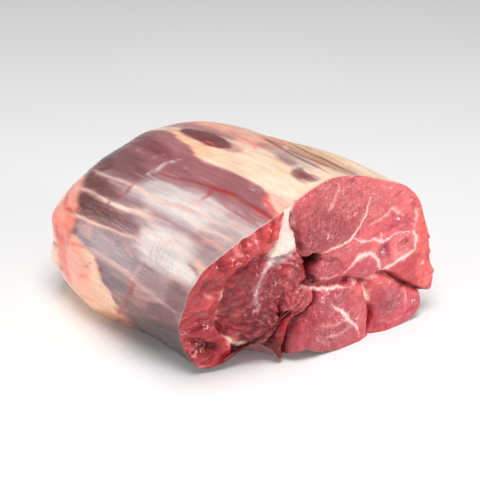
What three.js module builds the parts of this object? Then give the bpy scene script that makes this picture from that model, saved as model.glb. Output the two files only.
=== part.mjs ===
// A raw boneless beef shank: a short, thick roll of muscles in one skin of silvery membrane and fat, cut
// across at both ends. Every muscle is joined to its neighbours, so the shank is one solid.
//
// Millimetres. +X runs across the shank, +Y along its muscles, from the cut face at the front to the one at
// the back, and +Z up. The origin is under the middle of the shank, on the surface that it lies on.
//
// The shape is a box whose faces are drawn over the shank: the front and back faces become the cut ends, in
// relief, and the four others become the skin.
import * as THREE from "three";
import { mergeVertices } from "three/addons/utils/BufferGeometryUtils.js";

// The middle of the shank, as [x, y] in the numbers below: it becomes the origin.
const MIDDLE = [-9.5, -1.7];

// Number of facets across, along and up the box that the shank is drawn from.
const FACETS = { across: 48, along: 15, up: 34 };
const OUTLINE_STEPS = 150;

// The cut faces, as y over x. Both are skewed, and the front one falls back where the meat sags at the lower
// left. The back one is domed, and its relief is that of the front one times a share.
const FRONT = { y: -67.2, skew: Math.tan(THREE.MathUtils.degToRad(12)) };
const SAG = { back: 20, fromX: -20, overX: 50, fromZ: 80, overZ: 60 };
const BACK = { y: 62, skew: Math.tan(THREE.MathUtils.degToRad(14)), dome: 6, relief: 0.5 };

// Sections across the shank: each one's share of the way from the front cut to the back one, its centre, and
// its outline clockwise from the left, as [x, z]. The last one is the rim of the back cut.
const SECTIONS = [
  {
    share: 0, centre: [-8, 48],
    outline: [
      [-79, 62], [-75, 71], [-64, 78], [-50, 84], [-38, 88], [-27, 91], [-17, 97], [-7, 99.5], [8, 97],
      [24, 90], [38, 83], [47, 73], [52, 60], [56, 48], [58, 35], [61, 24], [61, 14], [55, 15], [54, 9],
      [49, 3], [36, 0], [5, 0], [-10, 3], [-20, 8], [-28, 6], [-34, 11], [-40, 14.5], [-44.5, 14], [-51, 8],
      [-57, 4], [-64, 5], [-71, 18], [-75, 32], [-77, 48],
    ],
  },
  {
    share: 0.25, centre: [-9, 49],
    outline: [
      [-80, 40], [-79, 60], [-69, 77], [-48, 90], [-22, 99], [8, 98], [34, 87], [51, 69], [60, 46], [57, 22],
      [46, 5], [30, 0], [0, -1], [-36, -1], [-54, 1], [-69, 12],
    ],
  },
  {
    share: 0.6, centre: [-12, 49],
    outline: [
      [-79, 40], [-78, 56], [-69, 72], [-51, 87], [-23, 98.5], [3, 97.5], [26, 86], [44, 66], [51, 44],
      [50, 22], [40, 5], [26, 0], [0, -1], [-36, -1], [-57, 0], [-71, 10],
    ],
  },
  {
    share: 1, centre: [-14, 40],
    outline: [
      [-59, 35], [-57, 46], [-48, 55], [-34, 60], [-12, 63], [10, 60], [27, 51], [35, 38], [34, 24],
      [27, 10], [13, 4], [-10, 3], [-34, 2], [-50, 4], [-59, 17],
    ],
  },
];

// The muscles in the cut, each with its outline as [x, z], which runs past the rim where it meets the rim.
// "set" is how far its face lies behind the cut plane, "drop" how far it falls at its edge, over the width
// "round", and "crown" how far its middle swells.
const MUSCLES = [
  {
    part: "upper", set: 0, drop: 3, round: 5, crown: 1.5,
    outline: [
      [-28, 86], [-24, 95], [-18, 102], [-6, 106], [12, 104], [31, 97], [46, 87], [58, 71], [63, 56],
      [64, 42], [67, 30], [67, 13], [54, 17], [45, 25], [35, 32], [27, 37], [22, 44], [16, 50], [8, 52.5],
      [-2, 54.5], [-12, 58], [-20, 62], [-23, 72], [-25, 79],
    ],
  },
  {
    part: "strips", set: 2.5, drop: 2.5, round: 4, crown: 1,
    outline: [
      [-14, 53], [-6, 53.5], [4, 51.5], [14, 49], [21, 43], [26, 37.5], [16, 36.5], [2, 39.5], [-8, 43],
      [-14, 47],
    ],
  },
  {
    part: "lower", set: 0.5, drop: 3, round: 5, crown: 2.5,
    outline: [
      [-15, 41], [-5, 38.5], [6, 36.5], [14, 33], [18.5, 27], [20.5, 18], [22, 10], [21, -6], [8, -8],
      [-6, -6], [-16, -2], [-25, 8], [-24, 20], [-21, 28], [-18, 35],
    ],
  },
  {
    part: "corner", set: 1, drop: 3, round: 5, crown: 2.5,
    outline: [
      [21, 35], [27, 36], [35, 30.5], [44, 23], [50, 19], [60, 14], [60, 1], [44, -7], [24, -7], [23.5, 3],
      [24, 11], [22, 20], [20, 29],
    ],
  },
  {
    part: "tongue", set: 4, drop: 2, round: 3, crown: 1,
    outline: [[-22, 30], [-25, 20], [-26, 9], [-28, 0], [-38, 8], [-32, 22], [-27, 29]],
  },
  {
    part: "knot", set: 1.5, drop: 3, round: 4, crown: 2,
    outline: [[-25, 44], [-18, 43.5], [-14, 39], [-17, 33], [-22, 30], [-27, 32], [-31, 37], [-29, 42]],
  },
  {
    part: "oval", set: 1, drop: 3, round: 6, crown: 3,
    outline: [
      [-45, 69], [-38, 65], [-30, 64.5], [-23, 68], [-20, 61], [-17, 54], [-17, 47], [-24, 45], [-30, 40],
      [-30, 32], [-29, 24], [-33, 16], [-42, 13], [-50, 17], [-54, 28], [-55, 40], [-56, 52], [-56, 61],
      [-51, 67],
    ],
  },
  {
    part: "band", set: 0, drop: 2.5, round: 5, crown: 1.5,
    outline: [
      [-30, 91], [-42, 95], [-58, 89], [-74, 80], [-86, 70], [-86, 52], [-82, 38], [-81, 22], [-74, 4],
      [-60, -4], [-50, 3], [-50, 15], [-54, 24], [-55.5, 40], [-57, 52], [-56.5, 62], [-51, 67.5],
      [-45, 69.5], [-38, 65.5], [-32, 71], [-30, 80],
    ],
  },
  {
    part: "fat", set: 1.5, drop: 2, round: 4, crown: 0.5,
    outline: [
      [-35, 98], [-25, 98], [-27, 83], [-24, 75], [-24, 68], [-32, 65], [-37, 66], [-32, 73], [-30, 82],
    ],
  },
];
const CREASE = { slope: 1.5, depth: 6 };
const BONE_GAP = { x: -15, z: 56, reach: 10, depth: 15 };
// The relief is averaged over this width, about that of a facet.
const SOFTEN = 3.6;

const MEAT = { color: 0xa8434a, roughness: 0.42, metalness: 0 };

const smooth = (t) => THREE.MathUtils.smoothstep(t, 0, 1);
const { lerp, clamp } = THREE.MathUtils;

// A closed smooth curve through the points, as a polygon.
function closedCurve(points) {
  const corners = points.map(([x, z]) => new THREE.Vector3(x, 0, z));
  return new THREE.CatmullRomCurve3(corners, true, "centripetal").getPoints(OUTLINE_STEPS);
}

// Distance from (x, z) to a polygon, negative inside it.
function signedDistance(polygon, x, z) {
  let nearest = Infinity;
  let inside = false;
  for (let i = 0, j = polygon.length - 1; i < polygon.length; j = i++) {
    const a = polygon[j];
    const b = polygon[i];
    const [ex, ez] = [b.x - a.x, b.z - a.z];
    const share = clamp(((x - a.x) * ex + (z - a.z) * ez) / (ex * ex + ez * ez || 1), 0, 1);
    nearest = Math.min(nearest, Math.hypot(x - a.x - share * ex, z - a.z - share * ez));
    if (a.z > z !== b.z > z && x < a.x + ((z - a.z) * ex) / ez) inside = !inside;
  }
  return inside ? -nearest : nearest;
}

// How far a polygon reaches from its centre in a direction given as [cos, sin].
function reach(polygon, [cx, cz], [dx, dz]) {
  let farthest = 0;
  for (let i = 0, j = polygon.length - 1; i < polygon.length; j = i++) {
    const [ax, az] = [polygon[j].x - cx, polygon[j].z - cz];
    const [bx, bz] = [polygon[i].x - cx, polygon[i].z - cz];
    const sideA = dx * az - dz * ax;
    const sideB = dx * bz - dz * bx;
    if (sideA > 0 === sideB > 0) continue;
    const share = sideA / (sideA - sideB);
    farthest = Math.max(farthest, dx * lerp(ax, bx, share) + dz * lerp(az, bz, share));
  }
  return farthest;
}

const sections = SECTIONS.map((section) => ({ ...section, curve: closedCurve(section.outline) }));
const frontRim = sections[0];
const backRim = sections[sections.length - 1];
const muscles = MUSCLES.map((muscle) => ({ ...muscle, curve: closedCurve(muscle.outline) }));

// The cut plane at the front, as y over (x, z).
function frontPlane(x, z) {
  const left = smooth((SAG.fromX - x) / SAG.overX);
  const low = smooth((SAG.fromZ - z) / SAG.overZ);
  return FRONT.y - FRONT.skew * x + SAG.back * left * low;
}

// How far the cut surface lies behind its plane at a point: the muscles are rounded pads with creases round
// them, and one hole goes in where the bone was.
function reliefAt(x, z) {
  const gap = Math.hypot(x - BONE_GAP.x, z - BONE_GAP.z) / BONE_GAP.reach;
  let recess = CREASE.depth;
  for (const { curve, set, drop, round, crown } of muscles) {
    const distance = signedDistance(curve, x, z);
    const edge = 1 - clamp(-distance / round, 0, 1);
    const swell = crown * clamp(-distance / (3 * round), 0, 1);
    recess = Math.min(recess, set + drop * edge * edge - swell + CREASE.slope * Math.max(distance, 0));
  }
  return lerp(BONE_GAP.depth, recess, smooth(gap));
}

function relief(x, z) {
  const [near, far] = [-SOFTEN / 2, SOFTEN / 2];
  const corners = [[near, near], [near, far], [far, near], [far, far], [0, 0]];
  return corners.reduce((sum, [dx, dz]) => sum + reliefAt(x + dx, z + dz), 0) / corners.length;
}

// The point [x, z] at a share of the way from a section's centre to its outline.
function inSection({ curve, centre }, direction, share) {
  const radius = share * reach(curve, centre, direction);
  return centre.map((c, i) => c + radius * direction[i]);
}

function frontPoint(direction, share) {
  const [x, z] = inSection(frontRim, direction, share);
  return new THREE.Vector3(x, frontPlane(x, z) + relief(x, z), z);
}

// The back cut shows the same muscles, on its smaller section and less deep.
function backPoint(direction, share) {
  const [x, z] = inSection(backRim, direction, share);
  const recess = BACK.relief * relief(...inSection(frontRim, direction, share));
  return new THREE.Vector3(x, BACK.y - BACK.skew * x + BACK.dome * (1 - share * share) - recess, z);
}

// The point of the skin at a share of the way from the front rim to the back one.
function skinPoint(direction, share) {
  const next = sections.findIndex((section) => section.share >= share);
  const [from, to] = [sections[next - 1], sections[next]];
  const way = (share - from.share) / (to.share - from.share);
  const eased = to === backRim ? 1 - Math.sqrt(1 - way * way) : smooth(way);
  const [start, end] = [inSection(from, direction, 1), inSection(to, direction, 1)];
  const y = lerp(frontPoint(direction, 1).y, backPoint(direction, 1).y, share);
  return new THREE.Vector3(lerp(start[0], end[0], eased), y, lerp(start[1], end[1], eased));
}

// The box's vertex (s, q, t), each from -1 to 1, moved to its place on the shank.
function place(s, q, t) {
  const square = Math.max(Math.abs(s), Math.abs(t));
  const length = Math.hypot(s, t) || 1;
  const direction = [s / length, t / length];
  let point;
  if (q <= -1) point = frontPoint(direction, square);
  else if (q >= 1) point = backPoint(direction, square);
  else point = skinPoint(direction, (q + 1) / 2);
  return new THREE.Vector3(point.x - MIDDLE[0], point.y - MIDDLE[1], Math.max(point.z, 0));
}

// Splits each cell of the box, given as the triangles a, b, d and b, c, d, along its shorter diagonal.
function splitCells(geometry) {
  const position = geometry.getAttribute("position");
  const corner = (i) => new THREE.Vector3().fromBufferAttribute(position, i);
  const index = [];
  for (let i = 0; i < geometry.index.count; i += 6) {
    const [a, b, d, , c] = geometry.index.array.slice(i, i + 6);
    const straight = corner(a).distanceTo(corner(c)) < corner(b).distanceTo(corner(d));
    index.push(...(straight ? [a, b, c, a, c, d] : [a, b, d, b, c, d]));
  }
  geometry.setIndex(index);
}

function shankGeometry() {
  const box = new THREE.BoxGeometry(2, 2, 2, FACETS.across, FACETS.along, FACETS.up);
  box.deleteAttribute("normal");
  box.deleteAttribute("uv");
  const geometry = mergeVertices(box);
  const position = geometry.getAttribute("position");
  for (let i = 0; i < position.count; i++) {
    const p = place(position.getX(i), position.getY(i), position.getZ(i));
    position.setXYZ(i, p.x, p.y, p.z);
  }
  splitCells(geometry);
  geometry.computeVertexNormals();
  return geometry;
}

const shank = new THREE.Mesh(shankGeometry(), new THREE.MeshStandardMaterial(MEAT));
shank.name = "shank";

const part = new THREE.Group();
part.add(shank);

export default part;
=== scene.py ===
import math

import bpy
import numpy as np
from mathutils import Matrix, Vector


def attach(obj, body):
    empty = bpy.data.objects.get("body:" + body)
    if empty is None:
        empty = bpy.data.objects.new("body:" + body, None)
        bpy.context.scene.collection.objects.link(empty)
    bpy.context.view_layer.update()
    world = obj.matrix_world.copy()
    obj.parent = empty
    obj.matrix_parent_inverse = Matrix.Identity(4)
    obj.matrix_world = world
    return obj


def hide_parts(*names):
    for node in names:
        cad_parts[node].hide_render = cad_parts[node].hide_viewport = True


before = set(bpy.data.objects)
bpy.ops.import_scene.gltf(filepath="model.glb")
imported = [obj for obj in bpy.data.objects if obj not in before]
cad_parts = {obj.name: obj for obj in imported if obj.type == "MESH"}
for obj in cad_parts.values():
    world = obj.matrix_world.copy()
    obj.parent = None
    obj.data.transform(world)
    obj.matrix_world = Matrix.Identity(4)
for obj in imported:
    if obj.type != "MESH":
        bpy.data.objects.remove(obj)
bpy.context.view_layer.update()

MM = 0.001
MIDDLE = np.array([-9.5, -1.7, 0.0])  # the middle of the shank in the numbers below: it becomes the origin

# ---------------------------------------------------------------- the form, nearly as in the solid

# Cells across and up a cut face, rows along the skin, and the share of its length that has fine rows. Behind
# that share every second cell round the shank is left out.
CELLS = {"across": 216, "up": 150, "fine_rows": 66, "coarse_rows": 14, "fine_share": 0.8}
ROW_CROWDING = 1.5  # above 1, rows crowd towards the front cut

FRONT = {"y": -67.2, "skew": math.tan(math.radians(12))}
SAG = {"back": 20, "from_x": -20, "over_x": 50, "from_z": 80, "over_z": 60}
BACK = {"y": 62, "skew": math.tan(math.radians(14)), "dome": 6, "relief": 0.5}

# Sections across the shank: the share of the way from the front cut to the back one, the centre, and the
# outline clockwise from the left, as (x, z).
SECTIONS = [
    (0, (-8, 48), [
        (-79, 62), (-75, 71), (-64, 78), (-50, 84), (-38, 88), (-27, 91), (-17, 97), (-7, 99.5), (8, 97),
        (24, 90), (38, 83), (47, 73), (52, 60), (56, 48), (58, 35), (61, 24), (61, 14), (55, 15), (54, 9),
        (49, 3), (36, 0), (5, 0), (-10, 3), (-20, 7.5), (-28.5, 3.5), (-34, 11), (-40, 14.5), (-44.5, 14),
        (-51, 8), (-57, 4), (-64, 5), (-71, 18), (-75, 32), (-77, 48),
    ]),
    (0.25, (-9, 49), [
        (-80, 40), (-79, 60), (-69, 77), (-48, 90), (-22, 99), (8, 98), (34, 87), (51, 69), (60, 46),
        (57, 22), (46, 5), (30, 0), (0, -1), (-36, -1), (-54, 1), (-69, 12),
    ]),
    (0.6, (-12, 49), [
        (-79, 40), (-78, 56), (-69, 72), (-51, 87), (-23, 98.5), (3, 97.5), (26, 86), (44, 66), (51, 44),
        (50, 22), (40, 5), (26, 0), (0, -1), (-36, -1), (-57, 0), (-71, 10),
    ]),
    (1, (-14, 40), [
        (-59, 35), (-57, 46), (-48, 55), (-34, 60), (-12, 63), (10, 60), (27, 51), (35, 38), (34, 24),
        (27, 10), (13, 4), (-10, 3), (-34, 2), (-50, 4), (-59, 17),
    ]),
]

# ---------------------------------------------------------------- tissues

# Some of these also serve as painted light: the deep wine and the black as painted shade and shadow in the
# cut, the coral pink and the pale seam as painted highlights there, the brown, the umber and the dark orange
# as painted shade under the skin, and the silver partly as a painted sheen.
TISSUES = {
    "cream": (251, 215, 190),
    "white fat": (252, 234, 218),
    "yellow fat": (254, 222, 186),
    "orange fat": (248, 190, 150),
    "peach": (255, 206, 172),
    "salmon": (252, 108, 88),
    "pink fat": (246, 178, 160),
    "pale pink": (254, 210, 196),
    "plum": (156, 96, 102),
    "dark plum": (100, 38, 42),
    "mauve": (122, 76, 80),
    "brown": (98, 54, 51),
    "olive": (156, 114, 94),
    "umber": (46, 15, 14),
    "lilac": (200, 184, 184),
    "grey": (136, 92, 97),
    "blue grey": (124, 102, 108),
    "silver sheen": (228, 217, 212),
    "membrane": (226, 184, 172),
    "vessel": (148, 56, 54),
    "blood": (180, 34, 36),
    "shaded orange": (176, 98, 62),
    "seam": (250, 184, 176),
    "pale seam": (251, 206, 198),
    "fascia": (222, 196, 192),
    "rose": (208, 88, 94),
    "dusky rose": (172, 66, 76),
    "coral pink": (222, 116, 113),
    "mauve red": (184, 70, 82),
    "dull mauve": (168, 92, 98),
    "bright red": (180, 42, 46),
    "coral": (226, 92, 86),
    "crimson": (170, 16, 30),
    "wine": (152, 32, 44),
    "deep wine": (80, 6, 12),
    "shadow black": (16, 3, 4),
}

# The muscles in the cut. "set" is how far a face lies behind the cut plane, "drop" how far it falls at its
# edge, over the width "round", and "crown" how far its middle swells. "lumps" is how uneven it is, and
# "folds" how deep the cracks between its bundles of fibres are.
MUSCLES = {
    "upper": dict(set=0, drop=0.8, round=2.5, crown=1.5, lumps=0.4, folds=0.1, tissue="rose", outline=[
        (-27, 86), (-23, 95), (-18, 102), (-6, 106), (12, 104), (31, 97), (46, 87), (58, 71), (63, 56),
        (64, 42), (67, 30), (67, 13), (54, 17), (45, 25), (35, 32), (27, 36.5), (19, 36.5), (12, 38.5),
        (7.5, 40), (4.5, 43.5), (3.5, 48), (0, 53), (-6, 56), (-12, 58.5), (-20, 62), (-23, 72), (-25, 79),
    ]),
    "strips": dict(set=0.6, drop=0.2, round=2.5, crown=0.2, lumps=0.9, folds=0.4, tissue="mauve red", outline=[
        (-11.5, 54), (-6, 54.8), (0, 52), (3.2, 47), (5.5, 42), (5, 38.5), (-3, 39.8), (-9, 41.8),
        (-14, 43.5), (-13, 47),
    ]),
    "lower": dict(set=0.3, drop=0.9, round=3, crown=2.5, lumps=0.6, folds=0.3, tissue="mauve red", outline=[
        (-15, 41), (-5, 39.3), (6, 38), (13, 36), (18.5, 30), (20.8, 20), (22, 10), (21, -6), (8, -8),
        (-6, -6), (-16, -2), (-25, 8), (-24, 20), (-21, 28), (-18, 35),
    ]),
    "corner": dict(set=0.6, drop=0.9, round=3, crown=2.5, lumps=0.6, folds=0.2, tissue="mauve red", outline=[
        (18.5, 37), (27, 36.3), (35, 30.8), (44, 23), (50, 19), (60, 14), (60, 1), (44, -7), (24, -7),
        (23.5, 3), (24, 11), (22, 20), (20, 29),
    ]),
    "tongue": dict(set=2.6, drop=1.2, round=3, crown=1.5, lumps=0.5, folds=0.1, tissue="crimson", outline=[
        (-22, 30), (-25, 20), (-26, 9), (-28, 0), (-38, 8), (-32, 22), (-27, 29),
    ]),
    "knot": dict(set=1.5, drop=1.6, round=3, crown=2, lumps=1.4, folds=0.8, tissue="rose", outline=[
        (-25, 44), (-18, 43.5), (-14, 39), (-17, 33), (-22, 30), (-27, 32), (-31, 37), (-29, 42),
    ]),
    "oval": dict(set=1, drop=1.8, round=4, crown=3, lumps=1, folds=1.4, tissue="wine", outline=[
        (-45, 69), (-38, 65), (-30, 64.5), (-23, 68), (-20, 61), (-17, 54), (-17, 47), (-24, 45), (-30, 40),
        (-30, 32), (-29, 24), (-33, 16), (-42, 13), (-50, 17), (-54, 28), (-55, 40), (-56, 52), (-56, 61),
        (-51, 67),
    ]),
    "band": dict(set=0, drop=1.4, round=3, crown=1.5, lumps=2.2, folds=0.3, tissue="bright red", outline=[
        (-31, 91), (-42, 95), (-58, 89), (-74, 80), (-86, 70), (-86, 52), (-82, 38), (-81, 22), (-74, 4),
        (-60, -4), (-50, 3), (-50, 15), (-54, 24), (-55.5, 40), (-57, 52), (-56.5, 62), (-51, 67.5),
        (-45, 69.5), (-40, 67), (-36, 71), (-34, 77), (-32, 84),
    ]),
    "fat": dict(set=0.8, drop=0.8, round=3, crown=1, lumps=0.3, folds=0, tissue="white fat", outline=[
        (-33, 98), (-25, 98), (-26.5, 86), (-24, 76), (-22.5, 69), (-26, 66), (-32, 65), (-38, 66), (-35, 71),
        (-33, 77), (-31.5, 84),
    ]),
}
CREASE = {"slope": 2, "depth": 6.0}
# The gap that the bone left: its place, the middle of the painted shadow in it, its half sizes and its depth.
BONE_GAP = {"at": (-14.5, 56.8), "shadow_at": (-13.3, 56.8), "reach": (5.4, 5.4), "depth": 18}
CLEFT_END = 3  # the length over which a cleft runs out
THIN_END = 0.35  # the share of its depth or width that a cleft or streak keeps at its ends

# Places where the cut is crumbled: (x, z), half sizes, and how much.
CRUMBLED = [
    ((-5, 80), (34, 32), 0.9),
    ((-41, 42), (20, 32), 0.4),
    ((-22, 37), (9, 9), 0.8),
    ((-6, 18), (20, 20), 0.45),
    ((-7, 48), (9, 7), 0.6),
    ((34, 18), (12, 12), 0.6),
]
# Bumps on the cut: (x, z), half sizes across and up, and height.
BUMPS = [
    ((-61, 71), (5, 4.5), 2.6),
    ((-71, 61.5), (3.5, 5), -2.4),
    ((-64, 60), (5, 6), 1.6),
    ((-60.5, 51), (4, 2.5), -1.2),
    ((-66, 45.5), (7, 7), 1.8),
    ((-64, 33), (6, 4), -2.2),
    ((-63.5, 26), (6, 5), 1.4),
    ((-57.5, 16.5), (3.5, 3), -3),
    ((-52, 16.5), (4, 5), 2.4),
    ((-63.5, 11), (7, 4.5), 1.4),
    ((-48, 77), (6, 4), 1),
    ((-38, 80), (4, 6), 1.2),
    ((33.5, 18), (8, 6), 1),
    ((34, 65), (5, 4), 1),
    ((40, 52), (5, 5), 1.2),
    ((27, 51), (4, 4), -1.4),
    ((52, 42), (3, 6), 0.8),
    ((-7, 49), (5, 3), 0.8),
    ((55, 60), (3, 3), 1),
    ((57, 50), (3, 3), 1.4),
    ((58, 40), (3, 3), 1.2),
    ((60, 28), (3, 4), 1.4),
    ((56, 20), (3, 3), 1),
    ((-8, 26), (9, 6), 0.6),
]
# Clefts between the muscles: points (x, z), width and depth. They sink the relief, and deep wine is painted
# along them as shade.
CLEFTS = [
    ([(-20, 62), (-16, 57.5), (-11.5, 57), (-6.5, 55), (-2, 53.5), (1, 52)], 0.7, 0.7),
    ([(-14, 44), (-10, 42.3), (-4, 41), (3, 39.6), (8, 38.5)], 1.6, 0.8),
    ([(-15, 57), (-15.5, 52), (-14, 48), (-12, 44)], 1.3, 5),
    ([(26, 37), (31, 34.5), (37, 30), (44, 24), (50, 19.5), (60, 13)], 1, 4),
    ([(-13, 41), (-13, 34), (-17, 30), (-21, 26), (-24, 20), (-26, 12), (-26, 5)], 1.3, 3.5),
    ([(-24, 30), (-29, 26), (-32, 19), (-35, 13)], 1.2, 3.5),
    ([(-30, 42), (-29, 36), (-28, 31), (-23, 29)], 1, 2.2),
    ([(23, 18), (23.8, 12), (22.5, 7), (21.5, 1)], 1, 2.2),
    ([(-58, 62), (-57, 52), (-56, 42), (-55, 30), (-53, 21)], 0.9, 1.6),
    ([(-56, 62), (-50, 68.5), (-44, 69.5), (-38, 65)], 0.9, 1.6),
    ([(-27, 87), (-27, 81), (-24, 75), (-22.5, 69), (-20, 63)], 1, 2),
    ([(-75, 66), (-68, 62), (-66, 55)], 0.9, 1),
    ([(-58, 72), (-54, 70), (-55, 66)], 0.9, 1.2),
    ([(-71, 24), (-63, 21), (-58, 13), (-60, 8)], 1, 1.8),
    ([(-77, 44), (-70, 42), (-62, 44)], 0.9, 1),
    ([(-47, 86), (-45, 80), (-46, 74)], 1.2, 1),
    ([(-54, 83), (-55, 77), (-52, 72)], 1.2, 1.4),
    ([(-66, 76), (-66, 70), (-61, 66)], 1, 1.4),
    ([(-76, 56), (-69, 54), (-60, 56)], 1, 1.2),
    ([(-74, 30), (-68, 29), (-58, 31)], 1, 1),
    ([(-70, 14), (-64, 16), (-60, 13)], 1, 1.2),
    ([(-38, 88), (-40, 80), (-42, 73)], 1, 0.8),
]
# Seams in the cut: points (x, z), width, tissue and cover.
SEAMS = [
    ([(-3, 97), (-3.6, 91.7), (-5.9, 86), (-9, 81.5)], 0.8, "seam", 0.5),
    ([(15.7, 83), (14.8, 77.3), (11.9, 71), (7.6, 64.8), (2.5, 62.1), (-3, 60.7), (-8.6, 60.5), (-13, 59.7)],
      0.75, "pale seam", 0.85),
    ([(7.4, 63.7), (11.7, 60.6), (16.6, 59), (20.1, 58.7), (24.7, 56.2), (29, 55.9), (33.3, 57.5),
      (38.5, 57)], 0.8, "pale seam", 0.75),
    ([(24, 62), (24.7, 56.2)], 0.6, "pale seam", 0.6),
    ([(16.7, 67.3), (23.7, 69.1), (27.8, 71), (29.8, 73), (33.7, 70), (37, 66.3), (41.7, 62.1), (45.8, 58.2)],
      0.9, "seam", 0.7),
    ([(45.8, 58.2), (46.3, 64.2), (45.4, 70)], 1, "seam", 0.7),
    ([(45.2, 56.4), (47.6, 50.2), (47.2, 43.5)], 1, "pale seam", 0.8),
    ([(47.3, 43.5), (44, 43), (40.6, 42.2), (35.4, 40.5), (31.1, 38.8), (27.2, 37.4)], 1.5, "pale seam", 0.9),
    ([(27.2, 37.4), (24.5, 42.8), (20.9, 48.7), (16.4, 51.6), (12.1, 51), (8.7, 48.1), (4.7, 44.1)], 1.1,
      "pale seam", 0.85),
    ([(17, 51.4), (13, 51), (10, 49.3)], 1.8, "pale seam", 0.6),
    ([(-12, 47.6), (-8.5, 45.3), (-4, 44), (0, 43.8), (3.5, 42)], 0.7, "seam", 0.6),
    ([(-21, 44.6), (-16.5, 42.2), (-12.5, 40.4), (-8, 39.2), (-4, 37.8), (0.2, 37.3), (5.9, 35.5)], 0.75,
      "pale seam", 0.85),
    ([(10.2, 36), (15.9, 36.1), (21.8, 36.1), (29.2, 34.6)], 1, "seam", 0.6),
    ([(13, 33), (14, 30.5), (14.5, 28)], 3.2, "coral", 0.85),
    ([(17.3, 33.5), (18.5, 28), (20.5, 23.5), (22.1, 20.7)], 1.4, "cream", 0.95),
    ([(22.3, 18.5), (23.8, 12.1), (24, 5.6)], 1.3, "crimson", 0.7),
    ([(-4.8, 30.4), (-1.8, 26.4), (2.7, 22.2), (7, 15.8), (10.9, 11.2), (14.8, 4.7)], 0.9, "pale seam", 0.95),
    ([(29, 34), (37, 28.5), (44, 23)], 1.4, "coral pink", 0.6),
    ([(45.4, 23), (44.3, 17.6), (44.1, 11.9)], 0.8, "seam", 0.5),
    ([(-23.5, 67), (-30, 64), (-34.5, 63.6), (-38.5, 62.6), (-42, 58.5)], 2.4, "fascia", 0.8),
    ([(-39.5, 62), (-43, 54.5), (-43.6, 49), (-42.8, 42), (-40.7, 34)], 1.6, "fascia", 0.55),
    ([(-28, 64.5), (-34, 62.5), (-38.5, 60)], 0.9, "blue grey", 0.5),
    ([(-58, 60), (-57.7, 50), (-57.4, 45), (-55.6, 36), (-54.8, 28), (-52.2, 22)], 0.9, "cream", 0.5),
    ([(-58, 53), (-57.8, 49.5), (-57.2, 46)], 1.7, "cream", 0.7),
    ([(-52, 21), (-49, 17.5), (-46, 15.5), (-42, 14)], 1.9, "cream", 0.8),
    ([(-60, 81), (-58, 76), (-54, 73)], 0.9, "seam", 0.5),
    ([(-50, 83), (-47, 77), (-45, 73)], 0.9, "seam", 0.4),
    ([(-69, 55), (-66, 51), (-62, 49)], 0.9, "seam", 0.5),
    ([(-73, 20), (-66, 17), (-60, 21)], 0.8, "seam", 0.4),
    ([(-31, 88), (-33, 84), (-35, 78)], 1.2, "seam", 0.5),
    ([(-72, 10), (-66, 5.5), (-59, 5)], 1, "seam", 0.5),
    ([(28, 8), (34, 5), (42, 6)], 0.8, "seam", 0.3),
    ([(30, 70), (36, 66.5), (42, 62.5), (46, 60)], 1.2, "wine", 0.55),
    ([(33, 65), (38, 63), (43, 60)], 0.9, "wine", 0.5),
    ([(27, 54), (29, 49), (31, 45)], 1.6, "wine", 0.5),
    ([(36, 54), (40, 52), (43, 49.5)], 1.2, "wine", 0.45),
    ([(32, 50), (36, 46), (41, 44.5)], 0.9, "seam", 0.35),
    ([(42, 76), (44, 72), (45, 67)], 1.4, "wine", 0.4),
    ([(-12, 20), (-4, 17), (4, 17.5)], 1, "seam", 0.4),
    ([(-8, 12), (0, 10), (8, 12)], 1.2, "seam", 0.4),
    ([(-14, 14), (-9, 9), (-4, 4)], 1, "seam", 0.35),
]
# Spots on the cut: (x, z), half sizes across and up, tissue and cover.
CUT_SPOTS = [
    ((-12, 59.6), (2, 1.2), "pale seam", 0.9),
    ((11.5, 36), (2, 1.6), "seam", 0.8),
    ((-5, 30.6), (2.4, 2.2), "pale seam", 0.9),
    ((53, 34), (1.4, 1.4), "cream", 0.9),
    ((-66, 52), (1, 1), "cream", 0.6),
    # The wine spot at (-64, 33) and the deep wine spots at (-57.5, 16.5) and (-71, 61.5) lie in pits of the
    # band: painted shade.
    ((-64, 33), (6, 4), "wine", 0.6),
    ((-64.5, 39), (5, 1.8), "blue grey", 0.75),
    ((-57.5, 16.5), (3.5, 3), "deep wine", 0.85),
    ((-71, 61.5), (4, 6), "deep wine", 0.45),
    ((-63, 18.5), (6, 5), "deep wine", 0.5),
    ((-64, 59.5), (5, 5), "dull mauve", 0.4),
    ((-65.5, 46.5), (7, 6), "coral", 0.45),
    ((-14, 67), (9, 9), "dusky rose", 0.8),
    ((-5, 56), (9, 1.4), "coral pink", 0.6),
    ((-2, 48), (13, 5), "dusky rose", 0.35),
    ((-20, 80), (5, 10), "coral", 0.25),
    ((28, 63.5), (9, 4), "mauve red", 0.55),
    ((27, 50), (6, 9), "dusky rose", 0.75),
    ((27, 50.5), (4, 5), "mauve", 0.35),
    ((46, 47), (3, 4), "dusky rose", 0.4),
    ((13, 56), (9, 4), "mauve red", 0.45),
    ((39, 52), (5, 4), "dusky rose", 0.5),
    ((40, 58), (6, 3), "dusky rose", 0.5),
    ((-22, 66), (4, 6), "dusky rose", 0.6),
    ((-14, 24), (8, 7), "wine", 0.4),
    ((-2, 12), (18, 10), "dull mauve", 0.75),
    ((-6, 12), (14, 10), "dusky rose", 0.5),
    ((-3, 32), (13, 6), "dull mauve", 0.8),
    ((-2, 32.5), (15, 6), "dusky rose", 0.65),
    ((14, 19), (6, 11), "coral pink", 0.35),
    ((-37, 27), (13, 12), "deep wine", 0.45),
    ((-47, 50), (8, 14), "dusky rose", 0.35),
    ((-32, 18), (8, 7), "deep wine", 0.5),
    ((-7, 49), (5, 3), "coral pink", 0.5),
    ((44, 82), (7, 6), "coral pink", 0.3),
    ((34, 18), (9, 9), "dull mauve", 0.55),
    ((-66, 9), (6, 4), "dull mauve", 0.5),
    ((-52, 16.5), (4, 5), "coral", 0.5),
    ((-24, 38), (7, 6), "bright red", 0.5),
]
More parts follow.
